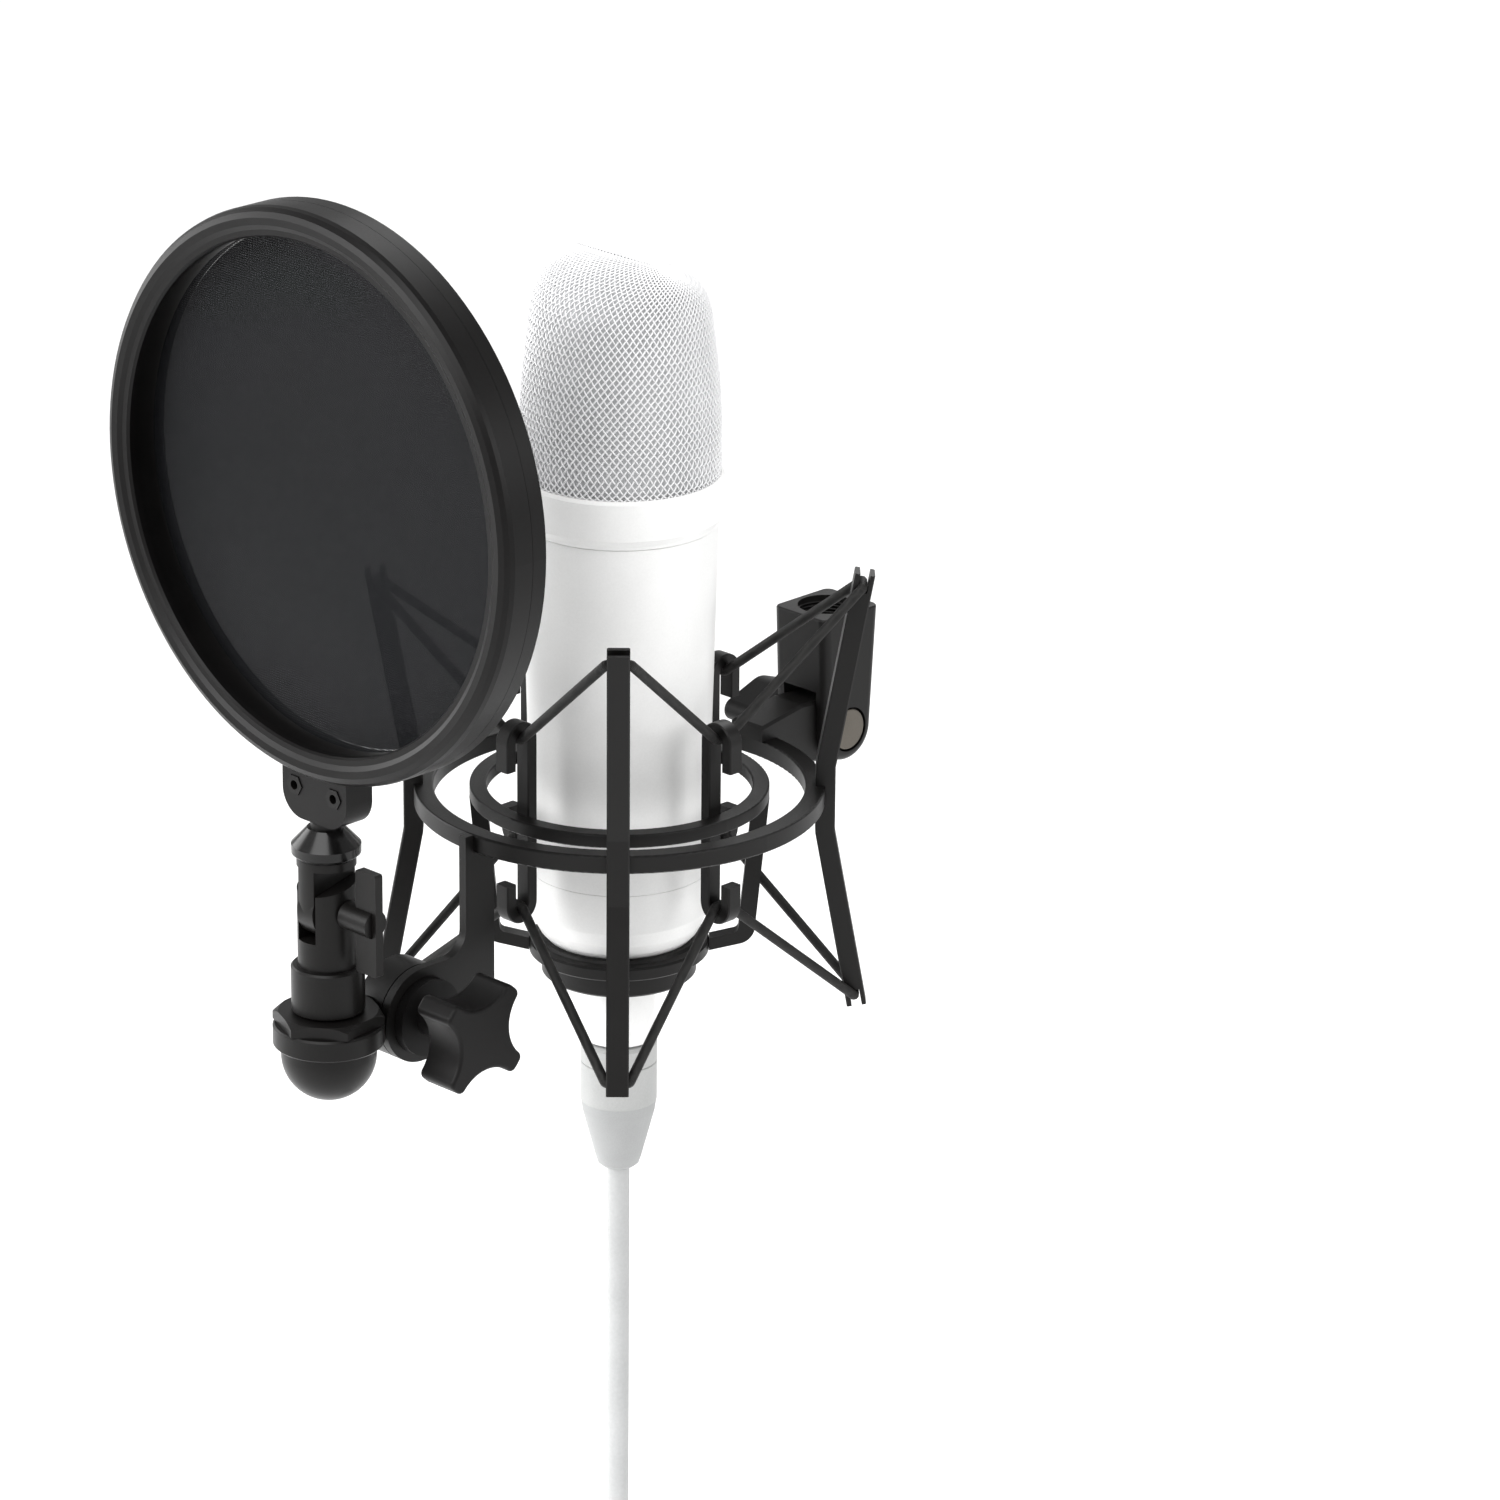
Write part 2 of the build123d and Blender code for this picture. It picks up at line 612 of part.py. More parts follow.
def filter_cup():
    """Domed cup that holds the post's foot, with the clamp knuckle on its side."""
    rim = at_post(rod(CUP_R, CUP_BOTTOM, CUP_TOP))
    rim = chamfer(rim.edges(), 0.5)
    knuckle = rod_x(EYE_R, -10.2, -1.55, EYE_Y, EYE_Z)
    neck = block((-10.2, POST_Y + 8, EYE_Z - 5.5), (-1.9, EYE_Y, EYE_Z + 3.4))
    dome = Pos(0, 0, DOME_Z) * (Sphere(DOME_R) - block((-20, -20, 0), (20, 20, 20)))
    cup = rim + at_post(dome + rod(DOME_R, DOME_Z, CUP_BOTTOM)) + knuckle + neck
    cup = cup - rod_x(BOLT_R + 0.1, -30, 20, EYE_Y, EYE_Z)
    pocket = extrude(Plane.YZ * (Pos(EYE_Y, EYE_Z) * RegularPolygon(5.2, 6)), amount=4)
    cup = cup - Pos(-10.3, 0, 0) * pocket - at_post(rod(14.2, CUP_TOP, CUP_TOP + 4.0))
    return cup - at_post(rod(FOOT_R + 0.06, -43.5, 0)) - hanger_clearance()


def hanger_clearance():
    return rod_x(EYE_R + 0.5, -1.55, 1.55, EYE_Y, EYE_Z)


def clamp_bolt():
    head = Pos(-10.2, 0, 0) * extrude(Plane.YZ * (Pos(EYE_Y, EYE_Z) * RegularPolygon(5.1, 6)), amount=3.6)
    return head + rod_x(BOLT_R, -7.0, 20.0, EYE_Y, EYE_Z)


def arm_knob():
    """Star knob that clamps the filter arm, with its round pressure washer."""
    knob = star_knob(12.0, EYE_Y, EYE_Z, 3, 4.0) + rod_x(9.9, PLATE_T / 2 + 0.35, 4.2, EYE_Y, EYE_Z)
    return knob - rod_x(BOLT_HOLE_R, 0, 21.4, EYE_Y, EYE_Z)


def cup_nut():
    """Hexagonal nut that holds the post down in the cup."""
    nut = extrude(Rot(0, 0, 37) * RegularPolygon(14.1, 6), amount=3.2)
    nut = nut & turned((0, 0), (14.2, 0), (14.2, 1.9), (12.4, 3.2), (0, 3.2))
    nut = Pos(0, 0, CUP_TOP + 0.02) * nut
    return at_post(nut - rod(FOOT_R + 0.06, -60, 0))


def post_sleeve():
    return at_post(turned(
        (FOOT_R, -36.2), (SLEEVE_R - 0.4, -36.2), (SLEEVE_R, -35.8), (SLEEVE_R, SLEEVE_TOP - 0.5),
        (SLEEVE_R - 0.5, SLEEVE_TOP), (FOOT_R, SLEEVE_TOP),
    ))


def clevis_post():
    """Post with a slotted top for the tilting tongue and a plain foot that turns in the cup."""
    post = rod(CLEVIS_R, SLEEVE_TOP, -1.0) + rod(FOOT_R, -43.3, SLEEVE_TOP)
    slope = Pos(0, 0, -2.7) * Rot(13, 0, 0) * Pos(0, 0, 10) * Box(30, 30, 20)
    slot = block((-TONGUE_HALF - 0.3, -20, -16.8), (TONGUE_HALF + 0.3, 20, 10))
    hole = rod_x(SCREW_HOLE_R, -20, 20, 0, PIVOT_Z)
    return at_post(post - slope - slot - hole)


def wing_screw():
    """Clamp screw with a flat finger paddle."""
    boss = rod_x(3.6, CLEVIS_R + 0.35, 17.5, 0, PIVOT_Z)
    shaft = rod_x(SCREW_R, -CLEVIS_R + 1.5, CLEVIS_R + 2, 0, PIVOT_Z)
    paddle = block((11.7, -1.2, PIVOT_Z - 13.4), (18.9, 1.2, PIVOT_Z + 13.4))
    paddle = fillet(paddle.edges().filter_by(Axis.Y), 0.7)
    return at_post(boss + shaft + paddle)


def filter_stem():
    """Tongue that tilts in the clevis, with the round shoulder and neck above it."""
    shoulder = rod(CLEVIS_R, 2.2, 4.25)
    tongue = rod(CLEVIS_R, PIVOT_Z, 2.2) + rod_x(CLEVIS_R, -10, 10, 0, PIVOT_Z)
    tongue = tongue & block((-TONGUE_HALF, -CLEVIS_R, -40), (TONGUE_HALF, CLEVIS_R, 2.2))
    tongue = tongue - block((-10, -20, -40), (10, 20, PIVOT_Z - 5.9))
    neck = rod(3.8, 4.2, 13.45)
    return at_post(shoulder + tongue + neck - rod_x(SCREW_HOLE_R, -20, 20, 0, PIVOT_Z))


def ferrule():
    return at_post(turned(
        (3.85, 4.3), (7.4, 4.3), (8.6, 5.4), (8.65, 7.6), (8.1, 8.2), (4.7, 11.9), (3.85, 11.9),
    ))


# ---- Pop filter head ----------------------------------------------------------------------

def hoop(*corners):
    """Ring about the filter's axis, which runs along Y, from (radius, y) corners."""
    ring = revolve(make_face(Polyline(*corners, close=True)), Axis.Y)
    return Pos(RIM_X, 0, RIM_Z) * ring


def rim_front():
    """Front hoop: a rounded flange that ends in a thin lip round the opening."""
    return hoop(
        (LIP_R, RIM_FRONT + 1.7), (LIP_R + 0.5, RIM_FRONT + 1.0), (65.8, RIM_FRONT + 0.9),
        (67.0, RIM_FRONT + 0.2), (68.8, RIM_FRONT), (70.2, RIM_FRONT + 0.6), (71.1, RIM_FRONT + 1.7),
        (RIM_R, RIM_FRONT + 3.0), (RIM_R, RIM_SPLIT), (67.6, RIM_SPLIT), (67.6, RIM_FRONT + 3.4),
        (LIP_R, RIM_FRONT + 3.4),
    )


def rim_rear():
    """Back hoop, which carries the fabric."""
    return hoop(
        (65.2, RIM_FRONT + 3.5), (67.5, RIM_FRONT + 3.5), (67.5, RIM_SPLIT + 0.1), (RIM_R, RIM_SPLIT + 0.1),
        (RIM_R, RIM_BACK - 1.0), (RIM_R - 1.0, RIM_BACK), (65.2, RIM_BACK),
    )


def fabric_disc(y):
    return rod_y(65.1, y - 0.25, y + 0.25, RIM_X, RIM_Z)


def filter_lug():
    half = LUG_W / 2
    top = RIM_Z - RIM_R + 4.0
    face = Pos(0, (LUG_BOTTOM + top) / 2) * Rectangle(LUG_W, top - LUG_BOTTOM)
    low = [v for v in face.vertices() if v.Y < LUG_BOTTOM + 1]
    face = fillet(low, 7.0)
    lug = Pos(RIM_X, -90.0, 0) * extrude(Plane.XZ * face, amount=8.6)
    lug = lug - rod_y(RIM_R - 1.0, -110, -80, RIM_X, RIM_Z) - rim_front() - rim_rear()
    for side in (-7, 7):
        lug = lug - rod_y(1.7, -110, -80, RIM_X + side, 21.8)
        hexagon = Plane.XZ * (Pos(RIM_X + side, 21.8) * RegularPolygon(2.8, 6))
        lug = lug - Pos(0, -96.9, 0) * extrude(hexagon, amount=6)
    return lug - at_post(rod(3.85, 0, LUG_BOTTOM + 0.01)) - block((-half * 3, -110, 0), (half * 3, -80, LUG_BOTTOM))


def lug_nuts():
    nuts = []
    for side in (-7, 7):
        hexagon = Plane.XZ * (Pos(RIM_X + side, 21.8) * RegularPolygon(2.7, 6))
        nut = Pos(0, -97.0, 0) * extrude(hexagon, amount=1.9)
        nuts.append(nut - rod_y(1.2, -110, -80, RIM_X + side, 21.8))
    return Compound(children=nuts)


# ---- Write the nodes ----------------------------------------------------------------------

save("boom_bracket", boom_bracket())
save("tilt_bolt", tilt_bolt())
save("tilt_knob", tilt_knob())

save("outer_ring", outer_ring())
for side, azimuth in SIDES.items():
    save(f"outer_arm_{side}", outer_arm(azimuth))
save("tilt_lug", tilt_lug())
save("hanger_plate", hanger_plate())
save("elastic_band_top", elastic_band(ARM_TIP_R - 3.1, ARM_TOP - TOP_SLOT + 1.5, HOOK_TOP - POST_T - 1.5))
save("elastic_band_bottom", elastic_band(ARM_TIP_R - 3.6, ARM_BOTTOM + BOTTOM_SLOT - 1.5,
                                         HOOK_BOTTOM + POST_T + 1.5))

save("inner_ring", inner_ring())
for face, azimuth in FACES.items():
    save(f"cradle_post_{face}", cradle_post(azimuth))
save("cradle_struts", Compound(children=[cradle_strut(azimuth) for azimuth in SIDES.values()]))
save("holder_ring", holder_ring())
save("lock_ring", lock_ring())

save("mic_body_tube", mic_body_tube())
save("mic_base_cap", mic_base_cap())
save("mic_collar", mic_collar())
save("head_grille", head_solid(0.0) - head_solid(0.9))
save("grille_liner", head_solid(1.1) - head_solid(1.7))
save("capsule_body", capsule_body())
save("diaphragms", diaphragms())
save("capsule_saddle", capsule_saddle())
save("chassis_frame", chassis_frame())
save("circuit_board", circuit_board())
save("board_parts", board_parts())
save("xlr_shell", xlr_shell())
save("xlr_insert", xlr_insert())
save("xlr_pins", xlr_pins())

save("plug_insert", plug_insert())
save("plug_shell", plug_shell(PLUG_TOP, PLUG_SHELL_END) - block(*LATCH_POCKET))
save("plug_boot", plug_boot(PLUG_SHELL_END, PLUG_END))
save("plug_latch", latch_button())
save("cable_drop", cable_drop())
save("cable_coil", cable_coil())
save("cable_tie", cable_tie())
save("cable_tail", cable_tail())
save("far_plug_boot", far_plug_boot())
save("far_plug_shell", far_plug_shell())
save("far_plug_insert", far_plug_insert())

save("filter_cup", filter_cup())
save("cup_nut", cup_nut())
save("clamp_bolt", clamp_bolt())
save("arm_knob", arm_knob())
save("post_sleeve", post_sleeve())
save("clevis_post", clevis_post())
save("wing_screw", wing_screw())
save("filter_stem", filter_stem())
save("ferrule", ferrule())
save("rim_front", rim_front())
save("rim_rear", rim_rear())
save("fabric_front", fabric_disc(-91.9))
save("fabric_rear", fabric_disc(-88.8))
save("filter_lug", filter_lug())
save("lug_nuts", lug_nuts())
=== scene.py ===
from math import cos, pi, radians, sin

import bpy
from mathutils import Euler, Matrix, Vector


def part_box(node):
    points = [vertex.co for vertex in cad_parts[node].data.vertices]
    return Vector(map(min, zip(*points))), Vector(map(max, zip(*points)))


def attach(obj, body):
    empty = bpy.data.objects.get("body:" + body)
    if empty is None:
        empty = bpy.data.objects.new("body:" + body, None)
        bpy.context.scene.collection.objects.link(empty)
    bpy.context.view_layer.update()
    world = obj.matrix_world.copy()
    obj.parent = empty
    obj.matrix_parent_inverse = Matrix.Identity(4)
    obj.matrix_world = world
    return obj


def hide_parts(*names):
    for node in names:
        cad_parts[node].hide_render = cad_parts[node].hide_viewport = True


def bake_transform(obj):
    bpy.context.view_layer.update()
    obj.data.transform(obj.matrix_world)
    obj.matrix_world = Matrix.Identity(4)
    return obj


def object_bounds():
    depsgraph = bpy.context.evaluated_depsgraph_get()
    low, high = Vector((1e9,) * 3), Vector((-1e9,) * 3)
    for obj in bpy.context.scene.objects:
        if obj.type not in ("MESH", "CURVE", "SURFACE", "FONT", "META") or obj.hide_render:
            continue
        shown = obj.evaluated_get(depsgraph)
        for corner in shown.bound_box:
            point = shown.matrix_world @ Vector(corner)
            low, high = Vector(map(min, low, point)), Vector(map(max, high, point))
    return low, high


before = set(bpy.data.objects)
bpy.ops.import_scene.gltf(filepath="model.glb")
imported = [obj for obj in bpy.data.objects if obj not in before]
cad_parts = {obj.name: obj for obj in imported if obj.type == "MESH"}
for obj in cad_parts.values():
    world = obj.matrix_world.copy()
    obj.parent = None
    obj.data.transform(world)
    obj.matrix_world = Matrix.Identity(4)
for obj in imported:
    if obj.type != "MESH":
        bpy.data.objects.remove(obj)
cad_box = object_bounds()

# ---- Camera --------------------------------------------------------------------------------
# A long lens at the front right and a little above, which looks down at the microphone.
# Places are told in millimetres from the microphone's axis at the top face of the outer ring.
LENS = 161.7
STAND = (1137.0, -1124.7, 607.2)
LOOKS_DOWN, LOOKS_ROUND, LEANS = 20.515, 44.128, 0.576
ring_low, ring_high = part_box("outer_ring")
ring_centre = Vector(((ring_low[0] + ring_high[0]) / 2, (ring_low[1] + ring_high[1]) / 2, ring_high[2]))


def at(x, y, z):
    """A place told in millimetres from the microphone's axis, in metres in the part's frame."""
    return ring_centre + Vector((x, y, z)) / 1000


camera_data = bpy.data.cameras.new("camera")
camera_data.sensor_width = 36
camera_data.lens = LENS
camera_data.clip_end = 50
camera = bpy.data.objects.new("camera", camera_data)
bpy.context.scene.collection.objects.link(camera)
turn = Euler((radians(90 - LOOKS_DOWN), 0, radians(LOOKS_ROUND))).to_matrix().to_4x4()
lean = Matrix.Rotation(radians(LEANS), 4, "Z")
camera.matrix_world = Matrix.Translation(at(*STAND)) @ turn @ lean
bpy.context.scene.camera = camera

# ---- Cable ---------------------------------------------------------------------------------
# Just under three metres of 6 mm microphone cable with a soft pale PVC jacket. It hangs straight
# from the plug, and the spare length is wound in four columns of three turns and strapped.
CABLE_D = 6.0
COIL_CENTRE = (0.0, 9.0, -278.0)
WAY_IN, WAY_OUT = 62.0, 90.0
LAYERS = {"outer": 42.2, "middle": 36.0, "inner": 29.8}
TURNS = [
    ("outer", -9.2), ("middle", -9.2), ("inner", -9.2), ("inner", -3.1), ("middle", -3.1), ("outer", -3.1),
    ("middle", 3.1), ("inner", 3.1), ("inner", 9.2), ("middle", 9.2), ("outer", 9.2), ("outer", 3.1),
]
STEPS = 16
STAYS = 0.7
OUT_SET = 1.01


def coil_points():
    """Points of the wound turns, from the cable's way in near the top to its way out on the left.
    Each turn stays in its column for most of its way and then crosses to the next. The curve cuts
    its corners a little, so its points are set out by as much."""
    count = len(TURNS) * STEPS
    points = []
    for i in range(count + 1):
        turns = i / STEPS
        which = min(int(turns), len(TURNS) - 1)
        after = min(which + 1, len(TURNS) - 1)
        shift = max(0.0, (turns - which - STAYS) / (1 - STAYS)) if which < after else 0.0
        layer, column = TURNS[which]
        next_layer, next_column = TURNS[after]
        radius = OUT_SET * (LAYERS[layer] * (1 - shift) + LAYERS[next_layer] * shift)
        across = column * (1 - shift) + next_column * shift
        angle = radians(WAY_IN + 360 * turns + (WAY_OUT - WAY_IN) * turns / len(TURNS))
        x, y, z = COIL_CENTRE
        points.append((x - radius * sin(angle), y + across, z + radius * cos(angle)))
    return points


route = [(0.0, 0.0, -105.6), (0.0, 0.0, -125.0), (0.0, 0.0, -160.0), (0.0, 0.0, -190.0)]
route += [(0.0, 0.0, -210.0), (-5.0, 0.0, -229.0), (-20.0, 0.0, -241.0)]
route += coil_points()
route += [(-42.0, 12.6, -300.0), (-44.2, 13.0, -320.0), (-44.2, 13.0, -338.5)]
cable_curve = bpy.data.curves.new("microphone_cable", "CURVE")
cable_curve.dimensions = "3D"
spline = cable_curve.splines.new("NURBS")
spline.points.add(len(route) - 1)
for point, place in zip(spline.points, route):
    point.co = (*at(*place), 1)
spline.order_u = 3
spline.use_endpoint_u = True
spline.resolution_u = 4
cable_curve.bevel_depth = CABLE_D / 2000
cable_curve.bevel_resolution = 4
cable = bpy.data.objects.new("microphone_cable", cable_curve)
bpy.context.scene.collection.objects.link(cable)


def linear(code):
    """The linear colour of an sRGB hex code."""
    parts = [int(code[i:i + 2], 16) / 255 for i in (1, 3, 5)]
    return tuple(c / 12.92 if c <= 0.04045 else ((c + 0.055) / 1.055) ** 2.4 for c in parts) + (1.0,)


def add_node(tree, kind, inputs, **settings):
    """A node with its settings, whose inputs are values or other nodes' outputs."""
    node = tree.nodes.new(kind)
    for name, value in settings.items():
        setattr(node, name, value)
    for socket, value in inputs.items():
        if isinstance(value, bpy.types.NodeSocket):
            tree.links.new(value, node.inputs[socket])
        else:
            node.inputs[socket].default_value = value
    return node


def grained(name, dark, light, rough, grain, depth, patch=14.0, **settings):
    """A finish with a fine surface grain: grain and patch in millimetres, depth in hundredths of one.
    The colour drifts between dark and light, the roughness between its two values, and any other
    setting goes to the shader's socket of that name."""
    material = bpy.data.materials.new(name)
    material.use_nodes = True
    tree = material.node_tree
    shader = tree.nodes["Principled BSDF"]
    place = add_node(tree, "ShaderNodeTexCoord", {})
    drift = add_node(tree, "ShaderNodeTexNoise", {
        "Vector": place.outputs["Object"], "Scale": 1000 / patch, "Detail": 3.0})
    specks = add_node(tree, "ShaderNodeTexNoise", {
        "Vector": place.outputs["Object"], "Scale": 1000 / grain, "Detail": 4.0, "Roughness": 0.6})
    both = add_node(tree, "ShaderNodeMath", {
        0: drift.outputs["Fac"], 1: specks.outputs["Fac"]}, operation="ADD")
    share = add_node(tree, "ShaderNodeMapRange", {
        "Value": both.outputs[0], "From Min": 0.6, "From Max": 1.4})
    tone = add_node(tree, "ShaderNodeMixRGB", {
        "Fac": share.outputs[0], "Color1": linear(dark), "Color2": linear(light)})
    gloss = add_node(tree, "ShaderNodeMapRange", {
        "Value": both.outputs[0], "From Min": 0.6, "From Max": 1.4, "To Min": rough[0], "To Max": rough[1]})
    relief = add_node(tree, "ShaderNodeBump", {
        "Height": specks.outputs["Fac"], "Strength": 1.0, "Distance": depth / 100000})
    tree.links.new(tone.outputs[0], shader.inputs["Base Color"])
    tree.links.new(gloss.outputs[0], shader.inputs["Roughness"])
    tree.links.new(relief.outputs[0], shader.inputs["Normal"])
    for socket, value in settings.items():
        shader.inputs[socket.replace("_", " ")].default_value = value
    return material


# Extruded PVC has a dull skin with a faint drag texture, so its highlight is broad and soft.
cable_jacket = grained("extruded_pvc_jacket", "#a9aaaa", "#b7b8b8", (0.5, 0.62), 0.8, 1.2, IOR=1.53)
cable.data.materials.append(cable_jacket)
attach(cable, "cradle")
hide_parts("cable_drop", "cable_coil", "cable_tail")

# ---- Plug on the microphone and plug at the far end ------------------------------------------
# Die-cast shells in pale satin enamel, with soft moulded boots and gold-plated contacts. The boots
# grip the cable, and a nickel release button sits in the shell at the microphone.


def dress(material, *nodes):
    """Gives CAD nodes their finish and smooths their curved faces."""
    bpy.ops.object.select_all(action="DESELECT")
    for name in nodes:
        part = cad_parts[name]
        part.data.materials.clear()
        part.data.materials.append(material)
        part.select_set(True)
        bpy.context.view_layer.objects.active = part
    bpy.ops.object.shade_smooth_by_angle(angle=radians(32), keep_sharp_edges=False)
    bpy.ops.object.select_all(action="DESELECT")


# Sprayed enamel over the casting: smooth, with a satin edge of light down the shell.
shell_enamel = grained("enamelled_plug_shell", "#a6a7a6", "#b4b5b4", (0.45, 0.55), 0.5, 0.5,
                       Specular_IOR_Level=0.35)
dress(shell_enamel, "plug_shell", "far_plug_shell")
# Soft moulded rubber: matt, with a fine grain.
boot_rubber = grained("moulded_plug_boot", "#999a9a", "#a8a9a9", (0.55, 0.7), 0.35, 1.5, IOR=1.5)
dress(boot_rubber, "plug_boot", "far_plug_boot")
# Bright nickel on the button, which catches small sharp lights.
latch_nickel = grained("latch_nickel", "#c9c8c5", "#dddcd8", (0.2, 0.32), 0.3, 0.4, Metallic=1.0)
dress(latch_nickel, "plug_latch")
# Moulded grey plastic behind the contacts: plain and half matt.
insulator = grained("moulded_insulator", "#8c8d90", "#9d9ea1", (0.45, 0.55), 0.4, 0.8)
dress(insulator, "plug_insert", "xlr_insert")
# Gold plate: warm and nearly mirror smooth.
gold_plate = grained("gold_plated_pins", "#c9a45a", "#e0be76", (0.18, 0.28), 0.3, 0.3, Metallic=1.0)
dress(gold_plate, "xlr_pins", "far_plug_insert")
# Woven hook-and-loop tape: dark, deep in grain and without shine.
strap_tape = grained("hook_and_loop_strap", "#33343a", "#4a4b52", (0.8, 0.95), 0.5, 8.0)
dress(strap_tape, "cable_tie")

# ---- Boom bracket and tilt hinge ---------------------------------------------------------------
# A die-cast block, powder coated satin black and tapped for a stand. The mount's lug turns between
# its cheeks on a steel bolt.
# Powder coat is fine and a little uneven, so its highlights are broad and soft.
powder_coat = grained("powder_coated_black", "#090808", "#11100f", (0.38, 0.5), 0.45, 1.0,
                      Specular_IOR_Level=0.24)
dress(powder_coat, "boom_bracket", "tilt_lug")
# Turned steel, darkened: a warm grey with a brushed sheen.
bolt_steel = grained("turned_steel_bolt", "#5c5852", "#726d66", (0.34, 0.46), 0.25, 0.8, Metallic=1.0)
dress(bolt_steel, "tilt_bolt")

# The socket's thread: 27 turns to the inch, cut down the bore as one ridge.
SOCKET_Y, SOCKET_TOP = 75.4, 29.3
THREAD_R = 7.5
THREAD_DEPTH = 13.6
THREAD_RIDGE = 0.42
THREAD_TURNS = 13
PITCH = 25.4 / 27
bpy.ops.object.select_all(action="DESELECT")
bpy.ops.mesh.primitive_circle_add(vertices=3, radius=THREAD_RIDGE / 1000, fill_type="NOTHING",
                                  location=(0, 0, 0))
thread = bpy.context.object
thread.name = "socket_thread"
thread.data.name = "socket_thread"
for vertex in thread.data.vertices:
    x, y, _ = vertex.co
    vertex.co = (THREAD_R / 1000 + y * 0.8, 0, x)
winding = thread.modifiers.new("winding", "SCREW")
winding.angle = radians(360)
winding.screw_offset = PITCH / 1000
winding.iterations = THREAD_TURNS
winding.steps = 48
winding.render_steps = 48
winding.use_normal_calculate = True
bpy.ops.object.modifier_apply(modifier="winding")
thread.data.transform(Matrix.Translation(at(0, SOCKET_Y, SOCKET_TOP - THREAD_DEPTH)))
thread.data.materials.append(powder_coat)
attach(thread, "bracket")

# ---- Clamp knobs ---------------------------------------------------------------------------------
# A two-winged knob on the tilt bolt and a star knob on the filter arm, injection moulded in nylon.
# A spark-eroded mould leaves a fine grain, which is dull, with soft broad highlights on the lobes.
moulded_nylon = grained("spark_eroded_nylon", "#080707", "#0e0d0d", (0.42, 0.55), 0.4, 1.6,
                        Specular_IOR_Level=0.17)
dress(moulded_nylon, "tilt_knob", "arm_knob")

# ---- Outer ring, its arms and the hanger plate -------------------------------------------------
# Steel ring, four upright bars forked at both ends, and the plate that the filter arm hangs from.
# They are welded together and powder coated like the bracket.
dress(powder_coat, "outer_ring", "outer_arm_front", "outer_arm_right", "outer_arm_back", "outer_arm_left",
      "hanger_plate")

# ---- Cradle --------------------------------------------------------------------------------------
# Inner ring, four hooked posts, and struts down to the holder ring, with the lock ring under it
# that screws on the microphone's neck. All are coated like the outer ring.
dress(powder_coat, "inner_ring", "cradle_post_front", "cradle_post_right", "cradle_post_back",
      "cradle_post_left", "cradle_struts", "holder_ring", "lock_ring")

# ---- Elastic bands -------------------------------------------------------------------------------
# Two closed loops of 2.6 mm elastic cord in a braided black sleeve. Each zigzags between the forked
# ends of the arms and the hooks of the posts.
BAND_R = 1.28
BRAID_PITCH = 2.4
BRAID_SLANT = 6.0
CORNER = 1.5
HOOK_R, HOOK_HALF = 36.2, 1.7
FORK_HALF = 3.0


def band_points(tip_r, tip_z, hook_z):
    """Places where the loop bends: either side of each post's hook, and of each arm's fork."""
    points = []
    for i in range(4):
        for azimuth, radius, half, z in (
                (90 * i, HOOK_R, HOOK_HALF, hook_z), (90 * i + 45, tip_r, FORK_HALF, tip_z)):
            a = radians(azimuth)
            for side in (-half, half):
                points.append((radius * sin(a) + side * cos(a), -radius * cos(a) + side * sin(a), z))
    return points


def braided_cord():
    """Braid on the loop's own UV map: two crossing sets of slanted yarns, drawn 1.2 mm wide so that
    they show. It breaks up the light along the cord and keeps it nearly matt."""
    material = bpy.data.materials.new("braided_polyester_sleeve")
    material.use_nodes = True
    tree = material.node_tree
    shader = tree.nodes["Principled BSDF"]
    place = add_node(tree, "ShaderNodeTexCoord", {})
    across = add_node(tree, "ShaderNodeSeparateXYZ", {"Vector": place.outputs["UV"]})
    yarns = []
    for sign in (1, -1):
        slant = add_node(tree, "ShaderNodeMath", {
            0: across.outputs["Y"], 1: BRAID_SLANT * sign}, operation="MULTIPLY")
        run = add_node(tree, "ShaderNodeMath", {
            0: across.outputs["X"], 1: slant.outputs[0]}, operation="ADD")
        wave = add_node(tree, "ShaderNodeMath", {0: run.outputs[0], 1: 1.0}, operation="PINGPONG")
        yarns.append(wave.outputs[0])
    weave = add_node(tree, "ShaderNodeMath", {0: yarns[0], 1: yarns[1]}, operation="MAXIMUM")
    tone = add_node(tree, "ShaderNodeMixRGB", {
        "Fac": weave.outputs[0], "Color1": linear("#0a0a0a"), "Color2": linear("#1c1b1a")})
    relief = add_node(tree, "ShaderNodeBump", {
        "Height": weave.outputs[0], "Strength": 0.6, "Distance": 0.00012})
    tree.links.new(tone.outputs[0], shader.inputs["Base Color"])
    tree.links.new(relief.outputs[0], shader.inputs["Normal"])
    shader.inputs["Roughness"].default_value = 0.62
    shader.inputs["Specular IOR Level"].default_value = 0.3
    return material


